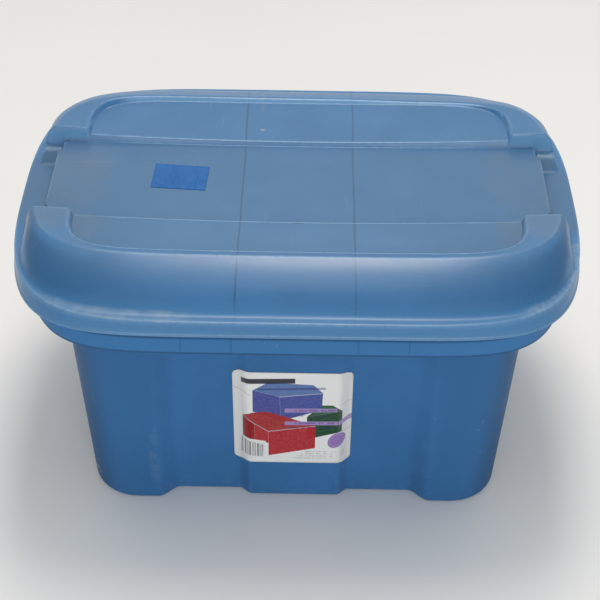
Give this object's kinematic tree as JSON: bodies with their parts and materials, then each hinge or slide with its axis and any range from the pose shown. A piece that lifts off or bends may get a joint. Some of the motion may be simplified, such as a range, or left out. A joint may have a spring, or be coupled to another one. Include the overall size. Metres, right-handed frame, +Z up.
{
  "type": "storage tote with lift-off lid",
  "caption": "Fluted plastic storage tub that nests, with a one-piece lift-off lid whose raised humps guide a tote stacked on top.",
  "frame": {"origin": "on the floor, under the middle of the tub", "axes": "+X along the long side, to the right seen from the front; +Y from the front wall to the back wall; +Z up; the labelled front faces -Y"},
  "size_m": [0.65, 0.474, 0.3605],
  "materials": {
    "tub_plastic": "satin moulded polypropylene, fine grain, light scuffs",
    "lid_plastic": "satin moulded polypropylene under a thin film of dust",
    "label_film": "printed self-adhesive film, semi-gloss",
    "tape": "creped masking tape, matt"
  },
  "bodies": {
    "tub": {"tub": "tub_plastic", "front_label": "label_film"},
    "lid": {"lid": "lid_plastic", "tape_patch": "tape"}
  },
  "joints": [
    {"name": "lid_lift", "type": "slide", "parent": "tub", "child": "lid", "axis": [0, 0, 1], "range_m": [0, 0.35]}
  ]
}
